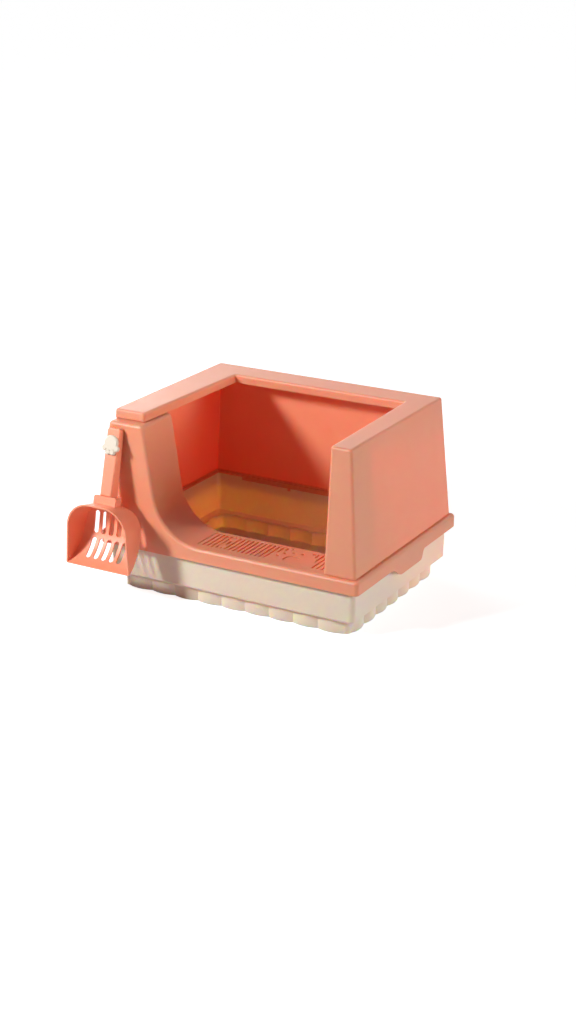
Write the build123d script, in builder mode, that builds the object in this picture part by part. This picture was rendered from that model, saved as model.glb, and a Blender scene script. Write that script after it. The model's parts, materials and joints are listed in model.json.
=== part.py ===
"""Semi-enclosed litter box: a tray, a frame with an entry step, a splash guard and a hung scoop."""

from build123d import *
from math import asin, cos, radians, sin, sqrt, tan
import os

os.makedirs("parts", exist_ok=True)

# Sizes are in millimetres and angles in degrees. X runs left to right as seen from the front,
# Y from front to back and Z up. The origin is the middle of the tray's underside.

# Litter tray
TRAY_LENGTH = 500.0
TRAY_DEPTH = 377.0
TRAY_HEIGHT = 109.5
TRAY_WALL = 2.6
TRAY_FLOOR = 3.0
TRAY_INNER_CORNER = 2.4
TRAY_LEAN = 1.5
TRAY_LIP = 7.5
TRAY_LIP_DROP = 6.0
TRAY_STEP_CHAMFER = 5.0
FOOT_HEIGHT = 26.0
FOOT_INSET = 16.5
FOOT_CORNER = 12.0
LOBE_PITCH = 48.0
LOBE_RISE = 5.0

# Rim frame: the skirt round the tray and the plate on its rim
SKIRT_WALL = 2.6
SKIRT_HEIGHT = 25.0
SKIRT_GAP = 1.4
FRAME_PLATE = 3.0
FRAME_TOP_CORNER = 1.0
FRAME_EDGE = 6.5
RIB_HEIGHT = 2.5
RIB_WALL = 2.0
RIB_GAP = 1.0
TONGUE_LENGTH = 380.0
TONGUE_WALL = 2.0
TONGUE_DROP = 6.0
TONGUE_GAP = 1.0
TAB_WIDTH = 5.0
TAB_DROP = 5.0
TAB_SPACING = 170.0
LUG_LENGTH = 139.0
LUG_DROP = 19.0
LUG_FRONT_RAMP = 48.0
LUG_BACK_RAMP = 20.0

# Entry sill and the swept pillar at its left
SILL_DEPTH = 93.0
SILL_RIB_DROP = 8.0
SILL_FRONT_BORDER = 20.0
SILL_BACK_BORDER = 5.0
SILL_END_BORDER = 2.0
PILLAR_TOP_WIDTH = 71.0
PILLAR_WALL = 3.0
PILLAR_GAP = 0.8
PILLAR_SHOULDER = 8.0
SWEEP_ANGLE = 9.0
SWEEP_RADIUS = 92.0
SWEEP_TOE = 30.0
SWEEP_TOE_CUT = 13.0

# Splash guard
GUARD_HEIGHT = 225.5
GUARD_WALL = 2.6
GUARD_INSET = 8.0
GUARD_FOOT_BEVEL = 1.8
GUARD_FOOT_SLOPE = 45.0
GUARD_SIDE_LEAN = 18.0
GUARD_BACK_LEAN = 14.0
GUARD_FRONT_LEAN = 12.0
GUARD_TOP_CORNER = 0.8
RAIL_LEFT = 62.0
RAIL_BACK = 60.0
RAIL_RIGHT = 39.5
RAIL_TAPER = 1.5
RAIL_LIP = 16.0
RAIL_EDGE = 4.5
RAIL_CORNER = 2.0
ENTRY_TOP_CORNER = 1.0
RAIL_GAP = 1.5
POST_WIDTH = 62.0
POST_DEPTH = 82.0

# Step grate
GRATE_THICKNESS = 3.0
GRATE_LEDGE = 4.0
GRATE_GAP = 0.4
GRATE_BORDER = 3.0
SLOT_WIDTH = 3.8
SLOT_PITCH = 8.8
ISLAND_X = 112.0
ISLAND_LENGTH = 92.0
ISLAND_DEPTH = 62.0
PAW_RISE = 17.0
TOE_HOLE = 6.5
TOE_RADIUS = 31.0
TOE_ANGLES = (80, 110, 141, 170)
PAD_RADIUS = 13.5
PAD_SLOT = 4.0
PAD_START = 40.0
PAD_SWEEP = 175.0
SPOT_X = -24.0
SPOT_SIZE = 15.0
SPOT_SPACING = 35.0

# Hung scoop
SCOOP_INSET = 19.5
MOUTH_REACH = 30.5
MOUTH_DROP = 9.5
BOWL_LENGTH = 118.0
BOWL_DEPTH = 60.0
BOWL_NECK_WIDTH = 121.0
BOWL_TIP_WIDTH = 134.0
BOWL_DRAFT = 4.0
BOWL_LEAN = 10.5
BOWL_BACK_LENGTH = 44.0
BOWL_ARCH = 48.0
BOWL_TIP_CHAMFER = 2.0
BOWL_TIP_EDGE = 2.0
BOWL_HOOD = 19.0
BOWL_WALL = 2.6
SCOOP_SLOTS = 5
SCOOP_SLOT_WIDTH = 10.0
SCOOP_SLOT_PITCH = 16.3
SCOOP_SLOT_GAP = 9.0
SCOOP_SLOT_CHAMFER = 3.0
SCOOP_UPPER_SLOT = 41.0
SCOOP_LOWER_SLOT = 40.0
SOCKET_WIDTH = 46.0
SOCKET_LENGTH = 26.0
SOCKET_DEPTH = 18.0
SOCKET_EDGE = 4.0
HANDLE_LEAN = 16.0
HANDLE_DROP = 8.0
HANDLE_LENGTH = 122.0
HANDLE_FOOT_WIDTH = 23.5
HANDLE_TOP_WIDTH = 27.5
HANDLE_TOP_DEPTH = 11.0
HANDLE_FOOT_DEPTH = 21.0
HANDLE_CORNER = 5.0
HANDLE_EDGE = 3.0
HANDLE_WALL = 2.6
HANDLE_FACE = 4.0
PLUG_LENGTH = 13.0
PLUG_WIDTH = 16.0
PLUG_DEPTH = 10.0
PLUG_GAP = 0.2

# Paw cap on the handle
CAP_DROP = 30.0
CAP_THICKNESS = 5.5
CAP_EDGE = 1.8
CAP_EDGE_SLOPE = 40.0
CAP_PAD = 27.5
CAP_PAD_RISE = 3.5
CAP_TOE = 11.0
CAP_TOE_RADIUS = 13.3
CAP_TOE_ANGLES = (205, 250, 290, 335)
CAP_PIN = 6.0
CAP_PIN_LENGTH = 2.5
CAP_PIN_GAP = 0.1

# Scoop hook on the pillar
HOOK_DROP = 28.0
HOOK_WIDTH = 12.0
HOOK_PAD = 3.0
HOOK_PAD_HEIGHT = 20.0
HOOK_REACH = 10.0
HOOK_THICKNESS = 3.0
HOOK_ARM = 4.0
HOOK_TONGUE = 14.0
HOOK_STEM = 6.0
HOOK_BARB = 2.0
HOOK_GAP = 0.3

# Heights and outlines that follow from the sizes above
CUT_MARGIN = 20.0
frame_top = TRAY_HEIGHT + FRAME_PLATE
skirt_bottom = frame_top - SKIRT_HEIGHT
guard_top = frame_top + GUARD_HEIGHT
rail_bottom = guard_top - RAIL_LIP
pillar_top = rail_bottom - RAIL_GAP

skirt_reach = TRAY_LIP + SKIRT_GAP + SKIRT_WALL
frame_corner = FRAME_TOP_CORNER + FRAME_EDGE
frame_length = TRAY_LENGTH + 2 * skirt_reach
frame_depth = TRAY_DEPTH + 2 * skirt_reach
frame_front = -frame_depth / 2
sill_back = frame_front + SILL_DEPTH
tongue_reach = TRAY_WALL + TONGUE_GAP + TONGUE_WALL
opening_half_length = TRAY_LENGTH / 2 - tongue_reach
opening_back = TRAY_DEPTH / 2 - tongue_reach

guard_corner = GUARD_TOP_CORNER + RAIL_EDGE
guard_half_length = frame_length / 2 - GUARD_INSET
guard_half_depth = frame_depth / 2 - GUARD_INSET


def guard_rise(height):
    """Say how far up the guard a height lies, from 0 at its foot to 1 at its top."""
    return (height - frame_top) / GUARD_HEIGHT


def guard_side(height):
    """Give the distance of the guard's outer side face from the middle at a height."""
    return guard_half_length - GUARD_SIDE_LEAN * guard_rise(height)


def guard_front(height):
    """Give the place of the guard's outer front face at a height."""
    return -guard_half_depth + GUARD_FRONT_LEAN * guard_rise(height)


def guard_back(height):
    """Give the place of the guard's outer back face at a height."""
    return guard_half_depth - GUARD_BACK_LEAN * guard_rise(height)


rail_left_inner = RAIL_LEFT - guard_side(guard_top)
rail_right_inner = guard_side(guard_top) - RAIL_RIGHT
rail_back_inner = guard_back(guard_top) - RAIL_BACK
rail_narrowing = (rail_back_inner - guard_front(guard_top)) * tan(radians(RAIL_TAPER))
entry_right = guard_side(frame_top) - POST_WIDTH
post_back = guard_front(frame_top) + POST_DEPTH
pillar_back_of_face = guard_front(pillar_top) + guard_corner
pillar_face_depth = pillar_back_of_face - frame_front

# Where the scoop hangs on the pillar
scoop_x = SCOOP_INSET - guard_side(pillar_top)
handle_top_z = pillar_top - HANDLE_DROP
hook_top = handle_top_z - HOOK_DROP
hook_stem_z = hook_top - HOOK_PAD_HEIGHT / 2

# The inner edge of the pillar is a straight run that leans out and an arc that lands flat on the sill.
sweep_slope = tan(radians(SWEEP_ANGLE))
sweep_cos = cos(radians(SWEEP_ANGLE))
sweep_sin = sin(radians(SWEEP_ANGLE))
sweep_top_x = PILLAR_TOP_WIDTH - guard_side(pillar_top)
sweep_centre_z = frame_top + SWEEP_RADIUS
sweep_centre_x = sweep_top_x + (pillar_top - sweep_centre_z) * sweep_slope + SWEEP_RADIUS / sweep_cos
grate_left = sweep_centre_x - SWEEP_TOE_CUT
grate_right = entry_right - SILL_END_BORDER
grate_front = frame_front + SILL_FRONT_BORDER
grate_back = sill_back - SILL_BACK_BORDER
grate_length = grate_right - grate_left
grate_depth = grate_back - grate_front
grate_middle = ((grate_left + grate_right) / 2, (grate_front + grate_back) / 2)


def sweep_line_x(height, inset):
    """Give the straight run's place at a height, moved into the pillar by an inset."""
    return sweep_top_x + (pillar_top - height) * sweep_slope - inset / sweep_cos


def sweep_tangent(inset):
    """Give the point where the straight run meets the arc."""
    radius = SWEEP_RADIUS + inset
    return (sweep_centre_x - radius * sweep_cos, sweep_centre_z - radius * sweep_sin)


# Litter tray: leaning walls on a lobed foot, with a turned-out rim
tray_corner = TRAY_INNER_CORNER + TRAY_WALL + TRAY_STEP_CHAMFER
foot_length = TRAY_LENGTH - 2 * TRAY_LEAN - 2 * FOOT_INSET
foot_depth = TRAY_DEPTH - 2 * TRAY_LEAN - 2 * FOOT_INSET
lobes_across = max(1, round((foot_length - 2 * FOOT_CORNER) / LOBE_PITCH))
lobes_along = max(1, round((foot_depth - 2 * FOOT_CORNER) / LOBE_PITCH))


def lobed_outline(inset):
    """Draw the foot's closed outline: rows of shallow round lobes, with a round lobe at each corner."""
    half_x = foot_length / 2 - inset
    half_y = foot_depth / 2 - inset
    radius = FOOT_CORNER - inset
    run_x = half_x - radius
    run_y = half_y - radius
    diagonal = radius * sqrt(0.5)
    quarters = [
        ((-run_x, -half_y), (run_x, -half_y), lobes_across, (run_x, -run_y), (1, -1), (half_x, -run_y)),
        ((half_x, -run_y), (half_x, run_y), lobes_along, (run_x, run_y), (1, 1), (run_x, half_y)),
        ((run_x, half_y), (-run_x, half_y), lobes_across, (-run_x, run_y), (-1, 1), (-half_x, run_y)),
        ((-half_x, run_y), (-half_x, -run_y), lobes_along, (-run_x, -run_y), (-1, -1), (-run_x, -half_y)),
    ]
    for start, end, lobes, centre, outward, corner_end in quarters:
        step = (Vector(*end) - Vector(*start)) / lobes
        for lobe in range(lobes):
            SagittaArc(Vector(*start) + step * lobe, Vector(*start) + step * (lobe + 1), -LOBE_RISE)
        corner_middle = (centre[0] + outward[0] * diagonal, centre[1] + outward[1] * diagonal)
        ThreePointArc(end, corner_middle, corner_end)


def tray_form(inset, bottom):
    """Make the tray's body above the foot with a bevelled lower edge, or its hollow when it is set in."""
    corner = tray_corner - inset
    sections = [
        (bottom, inset + TRAY_LEAN + TRAY_STEP_CHAMFER, corner - TRAY_STEP_CHAMFER),
        (bottom + TRAY_STEP_CHAMFER, inset + TRAY_LEAN, corner),
        (TRAY_HEIGHT, inset, corner),
    ]
    with BuildPart() as form:
        for height, reach, radius in sections:
            with BuildSketch(Plane.XY.offset(height)):
                RectangleRounded(TRAY_LENGTH - 2 * reach, TRAY_DEPTH - 2 * reach, radius)
        loft(ruled=True)
    return form.part


def lip_outline(reach):
    """Draw the tray's outline at its rim, wider by a reach."""
    RectangleRounded(TRAY_LENGTH + 2 * reach, TRAY_DEPTH + 2 * reach, tray_corner + reach)


with BuildPart() as base_tray:
    add(tray_form(0, FOOT_HEIGHT))
    with BuildSketch():
        with BuildLine():
            lobed_outline(0)
        make_face()
    extrude(amount=FOOT_HEIGHT + TRAY_WALL)
    with BuildSketch(Plane.XY.offset(TRAY_HEIGHT)):
        lip_outline(TRAY_LIP)
    extrude(amount=-TRAY_LIP_DROP)
    with BuildSketch(Plane.XY.offset(TRAY_HEIGHT - TRAY_WALL)):
        lip_outline(TRAY_LIP - TRAY_WALL)
        RectangleRounded(TRAY_LENGTH, TRAY_DEPTH, tray_corner, mode=Mode.SUBTRACT)
    extrude(amount=-TRAY_LIP_DROP, mode=Mode.SUBTRACT)
    add(tray_form(TRAY_WALL, FOOT_HEIGHT + TRAY_WALL), mode=Mode.SUBTRACT)
    with BuildSketch(Plane.XY.offset(TRAY_FLOOR)):
        with BuildLine():
            lobed_outline(TRAY_WALL)
        make_face()
    extrude(amount=FOOT_HEIGHT + TRAY_WALL - TRAY_FLOOR, mode=Mode.SUBTRACT)
base_tray.part.label = "base_tray"
export_step(base_tray.part, "parts/base_tray.step")


# The pillar's solid form, before it joins the frame. Its front edge rounds over like the sill's.
def pillar_outline(left_inset, bottom):
    """Draw the pillar seen from the front: leaning sides, a level top and a sweep that lands on the sill."""
    foot_left = (left_inset - guard_side(bottom), bottom)
    top_left = (left_inset - guard_side(pillar_top), pillar_top)
    tangent = sweep_tangent(0)
    toe = (sweep_centre_x, frame_top)
    Polyline(toe, (sweep_centre_x, bottom), foot_left, top_left, (sweep_top_x, pillar_top), tangent)
    TangentArc(tangent, toe, tangent=(sweep_sin, -sweep_cos))


pillar_root = frame_top - FRAME_EDGE - SKIRT_WALL
pillar_inner_side = GUARD_WALL + PILLAR_GAP

with BuildPart() as pillar:
    with BuildSketch(Plane.XZ.offset(-pillar_back_of_face)) as pillar_face:
        with BuildLine():
            pillar_outline(0, pillar_root)
        make_face()
        fillet(pillar_face.vertices().group_by(Axis.Y)[-1], PILLAR_SHOULDER)
    extrude(amount=pillar_face_depth)
    front_face = pillar.faces().sort_by(Axis.Y)[0]
    round_edges = front_face.edges().filter_by(lambda edge: edge.center().Z > frame_top - FRAME_EDGE / 2)
    fillet(round_edges.filter_by(lambda edge: edge.center().X < sweep_centre_x - FRAME_EDGE / 2), FRAME_EDGE)
    with BuildSketch(Plane.XZ.offset(-sill_back)) as pillar_body:
        with BuildLine():
            pillar_outline(pillar_inner_side, TRAY_HEIGHT)
        make_face()
        fillet(pillar_body.vertices().group_by(Axis.Y)[-1], PILLAR_SHOULDER)
    extrude(amount=SILL_DEPTH - pillar_face_depth)

# The hollow inside the pillar, open at the bottom
core_toe_x = sweep_centre_x - SWEEP_TOE
core_radius = SWEEP_RADIUS + PILLAR_WALL
core_toe_z = sweep_centre_z - sqrt(core_radius**2 - SWEEP_TOE**2)
core_top = pillar_top - PILLAR_WALL
core_left = pillar_inner_side + PILLAR_WALL

with BuildPart() as pillar_core:
    with BuildSketch(Plane.XZ.offset(PILLAR_WALL - sill_back)):
        with BuildLine():
            core_tangent = sweep_tangent(PILLAR_WALL)
            core_corner = (sweep_line_x(core_top, PILLAR_WALL), core_top)
            core_left_foot = (core_left - guard_side(skirt_bottom), skirt_bottom)
            core_left_top = (core_left - guard_side(core_top), core_top)
            core_toe = (core_toe_x, core_toe_z)
            Polyline(core_toe, (core_toe_x, skirt_bottom), core_left_foot, core_left_top,
                     core_corner, core_tangent)
            TangentArc(core_tangent, core_toe, tangent=(sweep_sin, -sweep_cos))
        make_face()
    extrude(amount=SILL_DEPTH - 2 * PILLAR_WALL)

# Rim frame: skirt, plate, sill, pillar and lugs in one moulding
hook_slot_width = HOOK_WIDTH + 2 * HOOK_GAP
hook_slot_height = HOOK_STEM + 2 * HOOK_GAP

with BuildPart() as rim_frame:
    with BuildSketch(Plane.XY.offset(skirt_bottom)):
        RectangleRounded(frame_length, frame_depth, frame_corner)
    extrude(amount=SKIRT_HEIGHT)
    fillet(rim_frame.edges().group_by(Axis.Z)[-1], FRAME_EDGE)
    add(pillar.part)
    with BuildSketch(Plane.XY.offset(skirt_bottom)):
        RectangleRounded(frame_length - 2 * SKIRT_WALL, frame_depth - 2 * SKIRT_WALL,
                         frame_corner - SKIRT_WALL)
    extrude(amount=TRAY_HEIGHT - skirt_bottom, mode=Mode.SUBTRACT)
    add(pillar_core.part, mode=Mode.SUBTRACT)
    # Opening over the tray
    with BuildSketch(Plane.XY.offset(TRAY_HEIGHT)):
        with Locations((0, (sill_back + opening_back) / 2)):
            Rectangle(2 * opening_half_length, opening_back - sill_back)
    extrude(amount=FRAME_PLATE, mode=Mode.SUBTRACT)
    # Ledge under the grate, and the stiffening rib along the back of the sill
    with BuildSketch(Plane.XY.offset(TRAY_HEIGHT)):
        with Locations(grate_middle):
            Rectangle(grate_length + 2 * GRATE_LEDGE, grate_depth + 2 * GRATE_LEDGE)
    extrude(amount=-GRATE_THICKNESS)
    with BuildSketch(Plane.XY.offset(TRAY_HEIGHT)):
        with Locations(((core_toe_x + opening_half_length) / 2, sill_back - SKIRT_WALL / 2)):
            Rectangle(opening_half_length - core_toe_x, SKIRT_WALL)
    extrude(amount=-SILL_RIB_DROP)
    with BuildSketch(Plane.XY.offset(frame_top)):
        with Locations(grate_middle):
            Rectangle(grate_length, grate_depth)
    extrude(amount=GRATE_THICKNESS, both=True, mode=Mode.SUBTRACT)
    with BuildSketch(Plane.XY.offset(frame_top)):
        with Locations(grate_middle):
            Rectangle(grate_length - 2 * GRATE_LEDGE, grate_depth - 2 * GRATE_LEDGE)
    extrude(amount=-FRAME_PLATE - GRATE_THICKNESS, mode=Mode.SUBTRACT)
    # Locating rib inside the guard's wall
    with BuildSketch(Plane.XY.offset(frame_top)) as rib:
        rib_half_length = guard_half_length - GUARD_WALL - RIB_GAP
        rib_back = guard_half_depth - GUARD_WALL - RIB_GAP
        with Locations((0, (sill_back + rib_back) / 2)):
            Rectangle(2 * rib_half_length, rib_back - sill_back)
        fillet(rib.vertices().group_by(Axis.Y)[-1], guard_corner - GUARD_WALL)
        with Locations((0, (sill_back + rib_back) / 2 - RIB_WALL)):
            Rectangle(2 * (rib_half_length - RIB_WALL), rib_back - sill_back, mode=Mode.SUBTRACT)
    extrude(amount=RIB_HEIGHT)
    # Tongue that hangs inside the tray's back wall, with its two snap tabs
    with BuildSketch(Plane.XY.offset(TRAY_HEIGHT)):
        with Locations((0, opening_back + TONGUE_WALL / 2)):
            Rectangle(TONGUE_LENGTH, TONGUE_WALL)
    extrude(amount=-TONGUE_DROP)
    with BuildSketch(Plane.XY.offset(TRAY_HEIGHT)):
        with Locations((0, opening_back + TONGUE_WALL / 2)):
            with GridLocations(TAB_SPACING, 1, 2, 1):
                Rectangle(TAB_WIDTH, TONGUE_WALL)
    extrude(amount=-TONGUE_DROP - TAB_DROP)
    # Grip lugs hanging from the skirt, a long ramp at the front and a short one at the back
    with BuildSketch(Plane.YZ.offset(frame_length / 2 - SKIRT_WALL)):
        with BuildLine():
            lug_front = (-LUG_LENGTH / 2, skirt_bottom)
            lug_back = (LUG_LENGTH / 2, skirt_bottom)
            lug_low_front = (LUG_FRONT_RAMP - LUG_LENGTH / 2, skirt_bottom - LUG_DROP)
            lug_low_back = (LUG_LENGTH / 2 - LUG_BACK_RAMP, skirt_bottom - LUG_DROP)
            Spline(lug_front, lug_low_front, tangents=((1, 0), (1, 0)))
            Line(lug_low_front, lug_low_back)
            Spline(lug_low_back, lug_back, tangents=((1, 0), (1, 0)))
            Polyline(lug_back, (LUG_LENGTH / 2, skirt_bottom + SKIRT_WALL),
                     (-LUG_LENGTH / 2, skirt_bottom + SKIRT_WALL), lug_front)
        make_face()
    lug = extrude(amount=SKIRT_WALL)
    mirror(lug, about=Plane.YZ)
    # Slot for the hook's stem
    with BuildSketch(Plane.XZ.offset(-frame_front - PILLAR_WALL)):
        with Locations((scoop_x, hook_stem_z)):
            Rectangle(hook_slot_width, hook_slot_height)
    extrude(amount=PILLAR_WALL, mode=Mode.SUBTRACT)
rim_frame.part.label = "rim_frame"
export_step(rim_frame.part, "parts/rim_frame.step")


# Splash guard: leaning walls under an in-turned rail, with a hollow post at the right of the entry
def entry_side(height):
    """Give the place of the post's inner face at a height."""
    return entry_right + (rail_right_inner - entry_right) * guard_rise(height)


def upright(edge):
    """Say whether an edge rises more than it runs."""
    span = edge.bounding_box().size
    return span.Z > max(span.X, span.Y)


def round_the_entry(edges):
    """Pick the upright edges that border the way in."""
    left = rail_left_inner - RAIL_EDGE
    right = rail_right_inner + RAIL_EDGE
    return edges.filter_by(upright).filter_by_position(Axis.X, left, right)


def leaning_block(inset, bottom, top):
    """Make a block with the guard's leaning faces and round corners, set in from them by an inset."""
    foot = guard_side(bottom) - inset
    head = guard_side(top) - inset
    with BuildPart() as block:
        with BuildSketch(Plane.XZ):
            with BuildLine():
                Polyline((-foot, bottom), (foot, bottom), (head, top), (-head, top), close=True)
            make_face()
        extrude(amount=frame_depth, both=True)
        with BuildSketch(Plane.YZ):
            with BuildLine():
                Polyline((guard_front(bottom) + inset, bottom), (guard_back(bottom) - inset, bottom),
                         (guard_back(top) - inset, top), (guard_front(top) + inset, top), close=True)
            make_face()
        extrude(amount=frame_length, both=True, mode=Mode.INTERSECT)
        fillet(block.edges().filter_by(upright), guard_corner - inset)
    return block.part


def entry_outline(margin):
    """Draw the way in at its narrow back end as seen from the front, wider by a margin on both sides."""
    bottom = frame_top - CUT_MARGIN
    top = guard_top + CUT_MARGIN
    inward = rail_narrowing - margin
    Polyline((rail_left_inner + inward, bottom), (entry_side(bottom) - inward, bottom),
             (entry_side(top) - inward, top), (rail_left_inner + inward, top), close=True)


def post_outline(top):
    """Draw the space that the post takes up as seen from the front."""
    bottom = frame_top - CUT_MARGIN
    Polyline((entry_side(bottom), bottom), (frame_length, bottom), (frame_length, top),
             (entry_side(top), top), close=True)


entry_corner = ENTRY_TOP_CORNER + RAIL_EDGE
guard_block = leaning_block(0, frame_top, guard_top)
guard_hollow = leaning_block(GUARD_WALL, frame_top - CUT_MARGIN, guard_top - GUARD_WALL)

# The hollow of the rail and the post, with the post's back left standing
with BuildPart() as rail_core:
    add(guard_hollow)
    with BuildSketch(Plane.XZ.offset(-rail_back_inner - GUARD_WALL)):
        with BuildLine():
            entry_outline(GUARD_WALL)
        make_face()
    extrude(amount=frame_depth, taper=-RAIL_TAPER, mode=Mode.SUBTRACT)
    with BuildSketch(Plane.XZ.offset(-post_back)):
        with BuildLine():
            post_outline(rail_bottom)
        make_face()
    extrude(amount=GUARD_WALL, mode=Mode.SUBTRACT)

# The room between the walls below the rail, beside the post
with BuildPart() as room_core:
    add(guard_hollow)
    split(bisect_by=Plane.XY.offset(rail_bottom), keep=Keep.BOTTOM)
    with BuildSketch(Plane.XZ.offset(-post_back)):
        with BuildLine():
            post_outline(guard_top)
        make_face()
    extrude(amount=frame_depth, mode=Mode.SUBTRACT)

# The ring that bevels the guard's outer foot edge, which leaves a fine groove above the frame
with BuildPart() as foot_bevel:
    with BuildSketch(Plane.XY.offset(frame_top)):
        Rectangle(2 * frame_length, 2 * frame_depth)
    extrude(amount=GUARD_FOOT_BEVEL)
    with BuildSketch(Plane.XY.offset(frame_top)):
        RectangleRounded(2 * (guard_half_length - GUARD_FOOT_BEVEL),
                         2 * (guard_half_depth - GUARD_FOOT_BEVEL), guard_corner - GUARD_FOOT_BEVEL)
    extrude(amount=GUARD_FOOT_BEVEL, taper=-GUARD_FOOT_SLOPE, mode=Mode.SUBTRACT)

with BuildPart() as splash_guard:
    add(guard_block)
    with BuildSketch(Plane.XZ.offset(-rail_back_inner)):
        with BuildLine():
            entry_outline(0)
        make_face()
    extrude(amount=frame_depth, taper=-RAIL_TAPER, mode=Mode.SUBTRACT)
    fillet(round_the_entry(splash_guard.edges()).group_by(Axis.Y)[-1], RAIL_CORNER)
    fillet(round_the_entry(splash_guard.edges()).group_by(Axis.Y)[0], entry_corner)
    fillet(splash_guard.faces().sort_by(Axis.Z)[-1].edges(), RAIL_EDGE)
    add(rail_core.part, mode=Mode.SUBTRACT)
    add(room_core.part, mode=Mode.SUBTRACT)
    add(foot_bevel.part, mode=Mode.SUBTRACT)
    # The pillar takes the place of the wall at the left of the entry
    with BuildSketch(Plane.XZ.offset(-pillar_back_of_face - PILLAR_GAP)):
        with BuildLine():
            Polyline((-frame_length, frame_top), (rail_left_inner + RAIL_LEFT, frame_top),
                     (rail_left_inner + RAIL_LEFT, rail_bottom), (-frame_length, rail_bottom), close=True)
        make_face()
    extrude(amount=pillar_face_depth + CUT_MARGIN, mode=Mode.SUBTRACT)
splash_guard.part.label = "splash_guard"
export_step(splash_guard.part, "parts/splash_guard.step")

# Step grate: slots from front to back, round a solid dome at the front with a paw of holes in it
slot_border = GRATE_GAP + GRATE_BORDER
slot_length = grate_depth - 2 * slot_border
slot_count = 1 + int((grate_length - 2 * slot_border - SLOT_WIDTH) // SLOT_PITCH)
slot_front = grate_front + slot_border
smallest_slot = SLOT_WIDTH * SLOT_WIDTH

with BuildPart() as step_grate:
    with BuildSketch(Plane.XY.offset(frame_top)):
        with Locations(grate_middle):
            Rectangle(grate_length - 2 * GRATE_GAP, grate_depth - 2 * GRATE_GAP)
    extrude(amount=-GRATE_THICKNESS)
    with BuildSketch(Plane.XY.offset(frame_top), mode=Mode.PRIVATE) as slots:
        with Locations(grate_middle):
            with GridLocations(SLOT_PITCH, 1, slot_count, 1):
                Rectangle(SLOT_WIDTH, slot_length)
        with Locations((ISLAND_X, slot_front)):
            Ellipse(ISLAND_LENGTH / 2, ISLAND_DEPTH, mode=Mode.SUBTRACT)
        with Locations((SPOT_X, grate_middle[1])):
            with GridLocations(1, SPOT_SPACING, 1, 2):
                Circle(SPOT_SIZE / 2, mode=Mode.SUBTRACT)
    open_slots = slots.sketch.faces().filter_by(lambda face: face.area > smallest_slot)
    extrude(open_slots, amount=-GRATE_THICKNESS, mode=Mode.SUBTRACT)
    with BuildSketch(Plane.XY.offset(frame_top)):
        paw_y = slot_front + PAW_RISE
        for angle in TOE_ANGLES:
            toe = (ISLAND_X + TOE_RADIUS * cos(radians(angle)), paw_y + TOE_RADIUS * sin(radians(angle)))
            with Locations(toe):
                Circle(TOE_HOLE / 2)
        with Locations((ISLAND_X, paw_y)):
            SlotArc(CenterArc((0, 0), PAD_RADIUS, PAD_START, PAD_SWEEP), PAD_SLOT)
    extrude(amount=-GRATE_THICKNESS, mode=Mode.SUBTRACT)
step_grate.part.label = "step_grate"
export_step(step_grate.part, "parts/step_grate.step")

# The scoop hangs on the pillar. Its handle leans back against the pillar, its bowl leans less, and the
# bowl's mouth stands upright. Each of these has a frame whose local X is across, Y up and Z to the front.
def leaning_plane(origin, lean):
    """Make a plane that faces the front, with its top leaning back by an angle."""
    return Plane(origin=origin, x_dir=(1, 0, 0), z_dir=(0, -cos(radians(lean)), sin(radians(lean))))


def placed(frame, plane):
    """Place one of the scoop's own planes in the world."""
    return Plane(frame.location * plane.location)


handle_sin = sin(radians(HANDLE_LEAN))
handle_cos = cos(radians(HANDLE_LEAN))
handle_top_y = frame_front - HOOK_GAP - HANDLE_TOP_DEPTH * handle_cos
handle_foot_y = handle_top_y - HANDLE_LENGTH * handle_sin
handle_foot_z = handle_top_z - HANDLE_LENGTH * handle_cos
handle_plane = leaning_plane((scoop_x, handle_foot_y, handle_foot_z), HANDLE_LEAN)
handle_axis = Axis(handle_plane.origin, handle_plane.z_dir)
mouth_origin = (scoop_x, handle_foot_y - MOUTH_REACH, handle_foot_z - MOUTH_DROP)
mouth_plane = leaning_plane(mouth_origin, 0)
bowl_plane = leaning_plane(mouth_origin, BOWL_LEAN)

# The bowl's floor is an arc from the foot of its straight back to its tip
bowl_sin = sin(radians(BOWL_LEAN))
bowl_cos = cos(radians(BOWL_LEAN))
tip_y = BOWL_TIP_EDGE * bowl_sin - BOWL_LENGTH * bowl_cos
tip_z = -BOWL_TIP_EDGE * bowl_cos - BOWL_LENGTH * bowl_sin
floor_run = -BOWL_BACK_LENGTH - tip_y
floor_rise = BOWL_DEPTH + tip_z
floor_radius = (floor_run**2 + floor_rise**2) / (2 * floor_rise)
floor_turn = asin(floor_run / floor_radius)


def floor_point(turn, inset):
    """Give a point of the floor's arc, in the bowl's frame, by how far the arc has turned."""
    radius = floor_radius - inset
    return (-BOWL_BACK_LENGTH - radius * sin(turn), floor_radius - BOWL_DEPTH - radius * cos(turn))


def bowl_mouth(inset, depth):
    """Draw the bowl's outline at a depth behind its mouth: arched at the neck and wide at the tip."""
    draft = inset + BOWL_DRAFT * depth / BOWL_DEPTH
    drop = depth * bowl_sin / bowl_cos
    neck = BOWL_NECK_WIDTH / 2 - draft
    tip = BOWL_TIP_WIDTH / 2 - draft
    neck_y = -inset - drop
    Polyline((-tip, -BOWL_LENGTH), (tip, -BOWL_LENGTH), (neck, neck_y), (-neck, neck_y), close=True)


def bowl_profile(inset):
    """Draw the bowl from the side: a level hood, a straight back and a curved floor, run out past the tip."""
    corner = (-inset, inset - BOWL_DEPTH)
    end = floor_point(floor_turn, inset)
    run_out = (end[0] - CUT_MARGIN * cos(floor_turn), end[1] + CUT_MARGIN * sin(floor_turn))
    ThreePointArc(floor_point(0, inset), floor_point(floor_turn / 2, inset), end)
    Polyline(end, run_out, (run_out[0], CUT_MARGIN), (-inset, CUT_MARGIN), corner, floor_point(0, inset))


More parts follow.
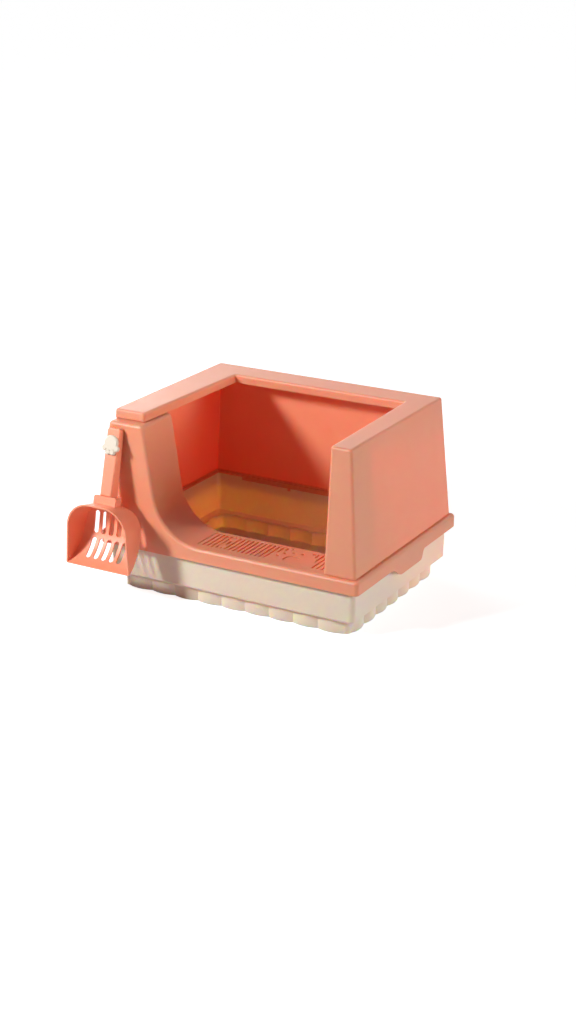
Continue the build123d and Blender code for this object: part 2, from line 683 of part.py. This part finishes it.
def bowl_form(inset, tip_chamfer):
    """Make the bowl's outer form, or its hollow when it is set in by the wall."""
    with BuildPart() as form:
        for depth in (0, BOWL_DEPTH):
            with BuildSketch(mouth_plane.offset(-depth)) as outline:
                with BuildLine():
                    bowl_mouth(inset, depth)
                make_face()
                fillet(outline.vertices().group_by(Axis.Y)[-1], BOWL_ARCH - inset)
                if tip_chamfer:
                    chamfer(outline.vertices().group_by(Axis.Y)[0], tip_chamfer)
        loft(ruled=True)
        with BuildSketch(placed(bowl_plane, Plane.YZ)) as profile:
            with BuildLine():
                bowl_profile(inset)
            make_face()
            back = profile.vertices().group_by(Axis.Y)[0]
            fillet(back.sort_by(Axis.X)[-1], BOWL_HOOD - inset)
        extrude(amount=BOWL_TIP_WIDTH, both=True, mode=Mode.INTERSECT)
    return form.part


bowl_outside = bowl_form(0, BOWL_TIP_CHAMFER)
bowl_inside = bowl_form(BOWL_WALL, 0)
slot_cut = 3 * BOWL_WALL
upper_slot_end = BOWL_HOOD + SCOOP_UPPER_SLOT
lower_slot_turn = (upper_slot_end - BOWL_BACK_LENGTH + SCOOP_SLOT_GAP + SCOOP_LOWER_SLOT / 2) / floor_radius
lower_slot_place = floor_point(lower_slot_turn, 0)
lower_slot_plane = Plane(origin=(0, *lower_slot_place), x_dir=(1, 0, 0),
                         z_dir=(0, sin(lower_slot_turn), cos(lower_slot_turn)))

with BuildPart() as scoop_bowl:
    add(bowl_outside)
    with BuildSketch(handle_plane):
        with Locations((0, -SOCKET_LENGTH / 2)):
            RectangleRounded(SOCKET_WIDTH, SOCKET_LENGTH, SOCKET_EDGE)
    extrude(amount=-SOCKET_DEPTH)
    add(bowl_inside, mode=Mode.SUBTRACT)
    with BuildSketch(placed(bowl_plane, Plane.XY.offset(-BOWL_DEPTH))) as upper_slots:
        with Locations((0, -BOWL_HOOD - SCOOP_UPPER_SLOT / 2)):
            with GridLocations(SCOOP_SLOT_PITCH, 1, SCOOP_SLOTS, 1):
                Rectangle(SCOOP_SLOT_WIDTH, SCOOP_UPPER_SLOT)
        chamfer(upper_slots.vertices(), SCOOP_SLOT_CHAMFER)
    extrude(amount=slot_cut, mode=Mode.SUBTRACT)
    with BuildSketch(placed(bowl_plane, lower_slot_plane)) as lower_slots:
        with GridLocations(SCOOP_SLOT_PITCH, 1, SCOOP_SLOTS, 1):
            Rectangle(SCOOP_SLOT_WIDTH, SCOOP_LOWER_SLOT)
        chamfer(lower_slots.vertices(), SCOOP_SLOT_CHAMFER)
    extrude(amount=slot_cut, both=True, mode=Mode.SUBTRACT)
    with BuildSketch(placed(handle_plane, Plane.XZ)):
        with Locations((0, -SOCKET_DEPTH / 2)):
            Rectangle(PLUG_WIDTH + 2 * PLUG_GAP, PLUG_DEPTH + 2 * PLUG_GAP)
    extrude(amount=PLUG_LENGTH + PLUG_GAP, mode=Mode.SUBTRACT)
scoop_bowl.part.label = "scoop_bowl"
export_step(scoop_bowl.part, "parts/scoop_bowl.step")

# The hook's tongue stands upright in front of the pillar, and the handle slips down over it
tongue_y = frame_front - HOOK_REACH
pocket_width = HOOK_WIDTH + 2 * HOOK_GAP
pocket_depth = HOOK_THICKNESS + 2 * HOOK_GAP
cap_place = HANDLE_LENGTH - CAP_DROP


def handle_outline(inset):
    """Draw the handle from the front, wider at its top than at its foot."""
    foot = HANDLE_FOOT_WIDTH / 2 - inset
    top = HANDLE_TOP_WIDTH / 2 - inset
    top_y = HANDLE_LENGTH - inset
    Polyline((-foot, inset), (foot, inset), (top, top_y), (-top, top_y), close=True)


# The hollow in the handle's back, with a block left standing across it for the hook's tongue
with BuildPart() as handle_channel:
    with BuildSketch(handle_plane.offset(-HANDLE_FACE)):
        with BuildLine():
            handle_outline(HANDLE_WALL)
        make_face()
    extrude(amount=-HANDLE_FOOT_DEPTH)
    with BuildSketch(Plane.XY.offset(hook_top + HOOK_GAP)):
        with Locations((scoop_x, handle_top_y)):
            Rectangle(2 * HANDLE_TOP_WIDTH, HANDLE_LENGTH)
    extrude(amount=HOOK_TONGUE, mode=Mode.SUBTRACT)

# Scoop handle: a soft-edged wedge with a plug at its lower end
with BuildPart() as scoop_handle:
    with BuildSketch(handle_plane) as handle_front:
        with BuildLine():
            handle_outline(0)
        make_face()
        fillet(handle_front.vertices().group_by(Axis.Y)[-1], HANDLE_CORNER)
    extrude(amount=-HANDLE_FOOT_DEPTH)
    with BuildSketch(placed(handle_plane, Plane.YZ)):
        with BuildLine():
            Polyline((0, 0), (HANDLE_LENGTH, 0), (HANDLE_LENGTH, -HANDLE_TOP_DEPTH),
                     (0, -HANDLE_FOOT_DEPTH), close=True)
        make_face()
    extrude(amount=HANDLE_TOP_WIDTH, both=True, mode=Mode.INTERSECT)
    fillet(scoop_handle.faces().sort_by(handle_axis)[-1].edges(), HANDLE_EDGE)
    add(handle_channel.part, mode=Mode.SUBTRACT)
    with BuildSketch(Plane.XY.offset(hook_top + HOOK_GAP)):
        with Locations((scoop_x, tongue_y)):
            Rectangle(pocket_width, pocket_depth)
    extrude(amount=HOOK_TONGUE + HOOK_GAP, mode=Mode.SUBTRACT)
    with BuildSketch(placed(handle_plane, Plane.XZ.offset(-HANDLE_WALL))):
        with Locations((0, -SOCKET_DEPTH / 2)):
            Rectangle(PLUG_WIDTH, PLUG_DEPTH)
    extrude(amount=PLUG_LENGTH + HANDLE_WALL)
    with BuildSketch(handle_plane):
        with Locations((0, cap_place)):
            Circle(CAP_PIN / 2)
    extrude(amount=-CAP_PIN_LENGTH, mode=Mode.SUBTRACT)
scoop_handle.part.label = "scoop_handle"
export_step(scoop_handle.part, "parts/scoop_handle.step")

# Paw cap: a round pad with four toes pointing at the scoop's tip, pinned into the handle
cap_discs = [((0, cap_place + CAP_PAD_RISE), CAP_PAD / 2)]
for angle in CAP_TOE_ANGLES:
    toe = (CAP_TOE_RADIUS * cos(radians(angle)), cap_place + CAP_TOE_RADIUS * sin(radians(angle)))
    cap_discs.append((toe, CAP_TOE / 2))

with BuildPart() as paw_cap:
    for middle, radius in cap_discs:
        with BuildSketch(handle_plane):
            with Locations(middle):
                Circle(radius)
        extrude(amount=CAP_THICKNESS - CAP_EDGE)
        with BuildSketch(handle_plane.offset(CAP_THICKNESS - CAP_EDGE)):
            with Locations(middle):
                Circle(radius)
        extrude(amount=CAP_EDGE, taper=CAP_EDGE_SLOPE)
    with BuildSketch(handle_plane):
        with Locations((0, cap_place)):
            Circle(CAP_PIN / 2 - CAP_PIN_GAP)
    extrude(amount=-CAP_PIN_LENGTH)
paw_cap.part.label = "paw_cap"
export_step(paw_cap.part, "parts/paw_cap.step")

# Scoop hook: a pad on the pillar's face, an arm with a rising tongue, and a stem with a barb behind the wall
with BuildPart() as scoop_hook:
    with BuildSketch(Plane.XZ.offset(-frame_front)):
        with Locations((scoop_x, hook_stem_z)):
            RectangleRounded(HOOK_WIDTH, HOOK_PAD_HEIGHT, HOOK_THICKNESS)
    extrude(amount=HOOK_PAD)
    with BuildSketch(Plane.YZ.offset(scoop_x)):
        with BuildLine():
            arm_bottom = hook_top - HOOK_ARM
            tongue_back = tongue_y + HOOK_THICKNESS / 2
            tongue_front = tongue_y - HOOK_THICKNESS / 2
            Polyline((frame_front - HOOK_PAD / 2, arm_bottom), (frame_front - HOOK_PAD / 2, hook_top),
                     (tongue_back, hook_top), (tongue_back, hook_top + HOOK_TONGUE),
                     (tongue_front, hook_top + HOOK_TONGUE), (tongue_front, arm_bottom), close=True)
        make_face()
    extrude(amount=HOOK_WIDTH / 2, both=True)
    with BuildSketch(Plane.XZ.offset(-frame_front)):
        with Locations((scoop_x, hook_stem_z)):
            Rectangle(HOOK_WIDTH, HOOK_STEM)
    extrude(amount=-PILLAR_WALL - HOOK_GAP)
    with BuildSketch(Plane.XZ.offset(-frame_front - PILLAR_WALL - HOOK_GAP)):
        with Locations((scoop_x, hook_stem_z)):
            Rectangle(HOOK_WIDTH, HOOK_STEM + 2 * HOOK_BARB)
    extrude(amount=-HOOK_BARB)
scoop_hook.part.label = "scoop_hook"
export_step(scoop_hook.part, "parts/scoop_hook.step")
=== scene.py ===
# %% [markdown]
# # A litter box with a splash guard, dressed for a studio picture
#
# The object is a household moulding: a cream tray, a coral frame and guard that stand on it, a slotted step
# in the entry and a scoop that hangs beside the way in. The solids are already right in shape, so this
# lesson is about light and finish.

# %% Load the solids
import json
import math

import bpy
from mathutils import Matrix, Vector

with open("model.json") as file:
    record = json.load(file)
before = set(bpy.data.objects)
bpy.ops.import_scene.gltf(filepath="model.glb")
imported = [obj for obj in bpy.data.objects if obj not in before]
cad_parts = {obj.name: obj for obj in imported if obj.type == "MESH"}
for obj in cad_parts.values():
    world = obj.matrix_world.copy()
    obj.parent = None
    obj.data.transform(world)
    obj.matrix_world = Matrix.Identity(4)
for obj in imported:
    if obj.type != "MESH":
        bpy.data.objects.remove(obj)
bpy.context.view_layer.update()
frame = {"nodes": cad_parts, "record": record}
nodes = frame["nodes"]
print("nodes:", ", ".join(sorted(nodes)))

# %% [markdown]
# ## The camera
#
# The picture was taken from the right of the entry and a little above it. A camera can be turned by hand
# until the edges agree, but it is easier to say where it stands: how far round, how high, how far away, and
# what it looks at. A long lens keeps the box's sides nearly parallel. The sensor's 36 mm lie along the tall
# side of the picture.

# %% Camera
CAMERA_AZIMUTH = math.radians(29.15)
CAMERA_ELEVATION = math.radians(20.08)
CAMERA_ROLL = math.radians(0.39)
CAMERA_DISTANCE = 3.250
CAMERA_AIM = Vector((0.0158, 0.0, 0.1319))
CAMERA_LENS = 62.5


def direction(azimuth, elevation):
    """Point from the object towards something that stands round and above it."""
    level = math.cos(elevation)
    return Vector((math.sin(azimuth) * level, -math.cos(azimuth) * level, math.sin(elevation)))


def add_camera():
    """Stand the camera where the picture was taken from."""
    data = bpy.data.cameras.new("studio_camera")
    data.lens = CAMERA_LENS
    camera = bpy.data.objects.new("studio_camera", data)
    bpy.context.scene.collection.objects.link(camera)
    back = direction(CAMERA_AZIMUTH, CAMERA_ELEVATION)
    turn = (-back).to_track_quat("-Z", "Y").to_matrix().to_4x4()
    roll = Matrix.Rotation(CAMERA_ROLL, 4, "Z")
    camera.matrix_world = Matrix.Translation(CAMERA_AIM + back * CAMERA_DISTANCE) @ turn @ roll
    bpy.context.scene.camera = camera
    return camera


camera = add_camera()
bpy.context.scene.view_settings.view_transform = "Standard"
print("camera stands at", [round(x, 3) for x in camera.matrix_world.translation])

# %% [markdown]
# ## Floor and background
#
# A product picture stands on white. If the floor were lit until it clipped, the object would be overlit too,
# and a white floor would throw pale light up into every shadow. So the floor is a light grey with a glow of
# its own that only the camera, reflections and clear plastic see. It reads as white where it is lit, and it
# still darkens where the box shades it.

# %% Floor
FLOOR_REACH = 40.0
FLOOR_COLOUR = (0.55, 0.55, 0.55, 1.0)
FLOOR_ROUGHNESS = 0.9
FLOOR_SPECULAR = 0.0
FLOOR_GLOW = 0.8


def link(tree, source, target):
    """Join an output socket to an input socket."""
    tree.links.new(source, target)


def larger(tree, first, second):
    """Take the larger of two values."""
    node = tree.nodes.new("ShaderNodeMath")
    node.operation = "MAXIMUM"
    link(tree, first, node.inputs[0])
    link(tree, second, node.inputs[1])
    return node.outputs[0]


def seen_by_eye(tree):
    """Give 1 where the camera, a reflection or clear plastic looks, and 0 for light that bounces."""
    path = tree.nodes.new("ShaderNodeLightPath")
    straight = larger(tree, path.outputs["Is Camera Ray"], path.outputs["Is Glossy Ray"])
    return larger(tree, straight, path.outputs["Is Transmission Ray"])


def make_floor_finish():
    """Make the floor's matt grey, with the glow added to it."""
    material = bpy.data.materials.new("studio_floor")
    material.use_nodes = True
    tree = material.node_tree
    shader = tree.nodes["Principled BSDF"]
    shader.inputs["Base Color"].default_value = FLOOR_COLOUR
    shader.inputs["Roughness"].default_value = FLOOR_ROUGHNESS
    shader.inputs["Specular IOR Level"].default_value = FLOOR_SPECULAR
    glow = tree.nodes.new("ShaderNodeEmission")
    strength = tree.nodes.new("ShaderNodeMath")
    strength.operation = "MULTIPLY"
    strength.inputs[1].default_value = FLOOR_GLOW
    both = tree.nodes.new("ShaderNodeAddShader")
    link(tree, seen_by_eye(tree), strength.inputs[0])
    link(tree, strength.outputs[0], glow.inputs["Strength"])
    link(tree, shader.outputs["BSDF"], both.inputs[0])
    link(tree, glow.outputs["Emission"], both.inputs[1])
    link(tree, both.outputs["Shader"], tree.nodes["Material Output"].inputs["Surface"])
    return material


def add_floor():
    """Lay a wide pale floor under the tray."""
    mesh = bpy.data.meshes.new("studio_floor")
    corners = [(-FLOOR_REACH, -FLOOR_REACH, 0), (FLOOR_REACH, -FLOOR_REACH, 0),
               (FLOOR_REACH, FLOOR_REACH, 0), (-FLOOR_REACH, FLOOR_REACH, 0)]
    mesh.from_pydata(corners, [], [(0, 1, 2, 3)])
    mesh.materials.append(make_floor_finish())
    floor = bpy.data.objects.new("studio_floor", mesh)
    bpy.context.scene.collection.objects.link(floor)
    return floor


floor = add_floor()
print("floor:", floor.name, "glow", FLOOR_GLOW)

# %% [markdown]
# ## Light
#
# The shadows tell where the light stood. The scoop throws its shadow to the right and down on the pillar,
# and the left rail's shadow crosses the back wall at a slant of about 45 degrees, so the key lamp stood at
# the left of the entry and above the box. The post at the right is a little dimmer than the pillar, so the
# lamp was not far away.
#
# The right wall is bright, but the corner beside the post is the darkest edge of all. A light in front could
# not do that, so the fill came from the right, low enough for the wall to shade the inside. Two lights at
# the left and behind do the rest: the rim light brightens the tops of the rails, and both shine through the
# thin left and back walls, which then glow inside. The room itself gives very little.
#
# The fill and the side light stand for light from wide, pale surfaces. Those leave no bright spot on satin
# plastic, so gloss doesn't mirror these two.

# %% Lights
LIGHT_DISTANCE = 3.4
KEY = {"azimuth": -33.0, "elevation": 30.5, "light": 2.8}
KEY_SIZE = 0.54
FILL = {"azimuth": 102.0, "elevation": 12.0, "light": 2.1}
FILL_ANGLE = math.radians(36.0)
SIDE = {"azimuth": 244.0, "elevation": 5.0, "light": 1.3}
SIDE_ANGLE = math.radians(30.0)
RIM = {"azimuth": 234.0, "elevation": 14.0, "light": 1.8}
RIM_ANGLE = math.radians(40.0)


def add_light(name, kind, azimuth, elevation):
    """Add a light that shines on the object from a side."""
    data = bpy.data.lights.new(name, kind)
    light = bpy.data.objects.new(name, data)
    bpy.context.scene.collection.objects.link(light)
    away = direction(math.radians(azimuth), math.radians(elevation))
    light.rotation_mode = "QUATERNION"
    light.rotation_quaternion = (-away).to_track_quat("-Z", "Y")
    light.location = CAMERA_AIM + away * LIGHT_DISTANCE
    return light


def add_lamp(name, azimuth, elevation, light, size):
    """Add a round lamp. Its power is worked out from the light that reaches the object."""
    lamp = add_light(name, "AREA", azimuth, elevation)
    lamp.data.shape = "DISK"
    lamp.data.size = size
    lamp.data.energy = light * math.pi * LIGHT_DISTANCE ** 2
    return lamp


def add_sun(name, azimuth, elevation, light, angle, glints):
    """Add a wide, even light. A larger angle softens its shadows, and glints lets gloss mirror it."""
    sun = add_light(name, "SUN", azimuth, elevation)
    sun.data.energy = light
    sun.data.angle = angle
    sun.visible_glossy = glints
    return sun


key = add_lamp("key_lamp", **KEY, size=KEY_SIZE)
fill = add_sun("fill_light", **FILL, angle=FILL_ANGLE, glints=False)
side = add_sun("side_light", **SIDE, angle=SIDE_ANGLE, glints=False)
rim = add_sun("rim_light", **RIM, angle=RIM_ANGLE, glints=True)
print("lights:", key.name, fill.name, side.name, rim.name)

# %% Room
ROOM_COLOUR = (1.0, 1.0, 1.0, 1.0)
ROOM_LIGHT = 0.03
ROOM_AS_SEEN = 1.0


def add_room():
    """Give the room a faint light, which the camera and reflections see as white."""
    world = bpy.data.worlds.new("studio_room")
    world.use_nodes = True
    bpy.context.scene.world = world
    tree = world.node_tree
    background = tree.nodes["Background"]
    background.inputs["Color"].default_value = ROOM_COLOUR
    strength = tree.nodes.new("ShaderNodeMapRange")
    strength.inputs["To Min"].default_value = ROOM_LIGHT
    strength.inputs["To Max"].default_value = ROOM_AS_SEEN
    link(tree, seen_by_eye(tree), strength.inputs["Value"])
    link(tree, strength.outputs["Result"], background.inputs["Strength"])
    return world


room = add_room()
print("room:", room.name, "light", ROOM_LIGHT)

# %% [markdown]
# ## A moulded skin
#
# All the pieces are injection moulded, so they share a skin: a fine grain from the etched mould, soft
# unevenness of colour where the plastic flowed and cooled, and a gloss that changes a little from place to
# place. One shader node group holds that, with sockets for the colours and sizes, and each finish places it
# with its own values. It works in the object's own space, in metres, so the grain has a real size on every
# piece.

# %% The moulded skin group
GROUP_INPUTS = (
    ("Colour", "NodeSocketColor", (0.8, 0.8, 0.8, 1.0)),
    ("Flow Colour", "NodeSocketColor", (0.7, 0.7, 0.7, 1.0)),
    ("Flow", "NodeSocketFloat", 0.3),
    ("Grain Per Metre", "NodeSocketFloat", 1500.0),
    ("Gloss Low", "NodeSocketFloat", 0.38),
    ("Gloss High", "NodeSocketFloat", 0.5),
)
GROUP_OUTPUTS = (
    ("Colour", "NodeSocketColor"),
    ("Roughness", "NodeSocketFloat"),
    ("Height", "NodeSocketFloat"),
)
FLOW_PER_METRE = 9.0
FLOW_STRETCH = (1.0, 1.0, 0.25)
FLOW_DETAIL = 3.0
CLOUD_PER_METRE = 28.0
CLOUD_DETAIL = 4.0
GRAIN_DETAIL = 2.0


def make_moulded_skin():
    """Build the node group that all the moulded finishes share."""
    group = bpy.data.node_groups.new("moulded_skin", "ShaderNodeTree")
    for name, kind, value in GROUP_INPUTS:
        group.interface.new_socket(name, in_out="INPUT", socket_type=kind).default_value = value
    for name, kind in GROUP_OUTPUTS:
        group.interface.new_socket(name, in_out="OUTPUT", socket_type=kind)
    given = group.nodes.new("NodeGroupInput")
    result = group.nodes.new("NodeGroupOutput")
    place = group.nodes.new("ShaderNodeTexCoord")
    stretch = group.nodes.new("ShaderNodeMapping")
    stretch.inputs["Scale"].default_value = FLOW_STRETCH
    flow = group.nodes.new("ShaderNodeTexNoise")
    flow.inputs["Scale"].default_value = FLOW_PER_METRE
    flow.inputs["Detail"].default_value = FLOW_DETAIL
    cloud = group.nodes.new("ShaderNodeTexNoise")
    cloud.inputs["Scale"].default_value = CLOUD_PER_METRE
    cloud.inputs["Detail"].default_value = CLOUD_DETAIL
    grain = group.nodes.new("ShaderNodeTexNoise")
    grain.inputs["Detail"].default_value = GRAIN_DETAIL
    amount = group.nodes.new("ShaderNodeMath")
    amount.operation = "MULTIPLY"
    mix = group.nodes.new("ShaderNodeMix")
    mix.data_type = "RGBA"
    gloss = group.nodes.new("ShaderNodeMapRange")
    link(group, place.outputs["Object"], stretch.inputs["Vector"])
    link(group, stretch.outputs["Vector"], flow.inputs["Vector"])
    link(group, place.outputs["Object"], cloud.inputs["Vector"])
    link(group, place.outputs["Object"], grain.inputs["Vector"])
    link(group, given.outputs["Grain Per Metre"], grain.inputs["Scale"])
    link(group, flow.outputs["Fac"], amount.inputs[0])
    link(group, given.outputs["Flow"], amount.inputs[1])
    link(group, amount.outputs[0], mix.inputs["Factor"])
    link(group, given.outputs["Colour"], mix.inputs["A"])
    link(group, given.outputs["Flow Colour"], mix.inputs["B"])
    link(group, cloud.outputs["Fac"], gloss.inputs["Value"])
    link(group, given.outputs["Gloss Low"], gloss.inputs["To Min"])
    link(group, given.outputs["Gloss High"], gloss.inputs["To Max"])
    link(group, mix.outputs["Result"], result.inputs["Colour"])
    link(group, gloss.outputs["Result"], result.inputs["Roughness"])
    link(group, grain.outputs["Fac"], result.inputs["Height"])
    return group


moulded_skin = make_moulded_skin()
print("group:", moulded_skin.name, "sockets", len(moulded_skin.interface.items_tree))

# %% [markdown]
# ## From skin to finish
#
# A finish is a material with the skin in front of its shader. The skin gives the colour, the roughness and
# the height of the grain, and a bump node turns that height into tiny slopes. Thin plastic also lets light
# in, which comes out again a little further on. That share, and how far each colour goes, are the same all
# over a piece, so they are set on the shader's own sockets.

# %% A finish from the moulded skin
GRAIN_STRENGTH = 0.5


def make_finish(name, values, grain_height):
    """Make a material whose colour, gloss and grain come from the moulded skin."""
    material = bpy.data.materials.new(name)
    material.use_nodes = True
    tree = material.node_tree
    shader = tree.nodes["Principled BSDF"]
    skin = tree.nodes.new("ShaderNodeGroup")
    skin.node_tree = moulded_skin
    for socket, value in values.items():
        skin.inputs[socket].default_value = value
    bump = tree.nodes.new("ShaderNodeBump")
    bump.inputs["Distance"].default_value = grain_height
    bump.inputs["Strength"].default_value = GRAIN_STRENGTH
    link(tree, skin.outputs["Colour"], shader.inputs["Base Color"])
    link(tree, skin.outputs["Roughness"], shader.inputs["Roughness"])
    link(tree, skin.outputs["Height"], bump.inputs["Height"])
    link(tree, bump.outputs["Normal"], shader.inputs["Normal"])
    return material


def let_light_in(material, share, depth, colours):
    """Let a share of the light into the plastic, to a depth in metres that differs by colour."""
    shader = material.node_tree.nodes["Principled BSDF"]
    shader.inputs["Subsurface Weight"].default_value = share
    shader.inputs["Subsurface Radius"].default_value = colours
    shader.inputs["Subsurface Scale"].default_value = depth


print("each finish sets:", ", ".join(name for name, kind, value in GROUP_INPUTS))

# %% [markdown]
# ## Coral
#
# The frame, the guard, the step and the scoop are coral polypropylene, a satin plastic with a soft bloom.
# The walls are thin, so some light goes right through them, and the red part of it goes furthest. That, and
# the walls lighting each other, gives the deep red inside, so the colour written here is the plain one. The
# scoop lets less light through, which is a second finish made by the same function.

# %% Coral finish
CORAL = (0.94, 0.34, 0.20, 1.0)
CORAL_FLOW = (0.92, 0.31, 0.175, 1.0)
CORAL_GRAIN_HEIGHT = 0.00004
CORAL_GLOW = 0.9
SCOOP_GLOW = 0.35
CORAL_GLOW_DEPTH = 0.006
CORAL_GLOW_COLOURS = (1.0, 0.14, 0.05)


def make_coral(name, glow):
    """Make the coral plastic, with the share of light that goes into it."""
    material = make_finish(name, {
        "Colour": CORAL,
        "Flow Colour": CORAL_FLOW,
        "Flow": 0.6,
        "Grain Per Metre": 1600.0,
        "Gloss Low": 0.36,
        "Gloss High": 0.5,
    }, CORAL_GRAIN_HEIGHT)
    let_light_in(material, glow, CORAL_GLOW_DEPTH, CORAL_GLOW_COLOURS)
    return material


coral = make_coral("coral_plastic", CORAL_GLOW)
scoop_coral = make_coral("scoop_coral", SCOOP_GLOW)
print("finishes:", coral.name, scoop_coral.name)

# %% [markdown]
# ## Cream tray
#
# The tray is a natural, milky plastic. Light goes into its thin wall and comes out warmer on the other side,
# which is why the inside glows orange. A see-through glass shader would show sharp shapes, so light
# scattered under the surface is the better choice.

# %% Tray finish
TRAY_CREAM = (1.0, 0.71, 0.58, 1.0)
TRAY_FLOW = (0.99, 0.68, 0.53, 1.0)
TRAY_GRAIN_HEIGHT = 0.00004
TRAY_GLOW = 0.95
TRAY_GLOW_DEPTH = 0.009
TRAY_GLOW_COLOURS = (1.0, 0.45, 0.05)

tray = make_finish("tray_plastic", {
    "Colour": TRAY_CREAM,
    "Flow Colour": TRAY_FLOW,
    "Flow": 0.5,
    "Grain Per Metre": 1200.0,
    "Gloss Low": 0.34,
    "Gloss High": 0.46,
}, TRAY_GRAIN_HEIGHT)
let_light_in(tray, TRAY_GLOW, TRAY_GLOW_DEPTH, TRAY_GLOW_COLOURS)
print("finish:", tray.name)

# %% [markdown]
# ## Ivory cap
#
# The paw cap is a small solid moulding with a smoother face than the rest, so its gloss is higher and its
# grain finer. It is too thick for light to shine through, so none is let in.

# %% Cap finish
CAP_IVORY = (0.80, 0.71, 0.59, 1.0)
CAP_FLOW = (0.77, 0.67, 0.54, 1.0)
CAP_GRAIN_HEIGHT = 0.00002

cap = make_finish("cap_plastic", {
    "Colour": CAP_IVORY,
    "Flow Colour": CAP_FLOW,
    "Flow": 0.4,
    "Grain Per Metre": 2200.0,
    "Gloss Low": 0.28,
    "Gloss High": 0.4,
}, CAP_GRAIN_HEIGHT)
print("finish:", cap.name)

# %% [markdown]
# ## Dressing the solids
#
# Each solid takes the finish of its slot in the record, and the two coral pieces of the scoop take the
# denser coral. The faces are shaded smooth up to an angle, so that round edges look round and the flat walls
# keep their corners.

# %% Give each piece its finish
FINISHES = {"tray_plastic": tray, "coral_plastic": coral, "cap_plastic": cap}
DENSE_PIECES = {"scoop_bowl": scoop_coral, "scoop_handle": scoop_coral}
SMOOTH_UP_TO = math.radians(32.0)

for entry in frame["record"]["subparts"]:
    piece = nodes[entry["node"]]
    finish = DENSE_PIECES.get(entry["node"], FINISHES[entry["material_slot"]])
    piece.data.materials.clear()
    piece.data.materials.append(finish)
    piece.data.shade_smooth()
    piece.data.set_sharp_from_angle(angle=SMOOTH_UP_TO)
    print(piece.name, "takes", finish.name, "on", len(piece.data.polygons), "faces")
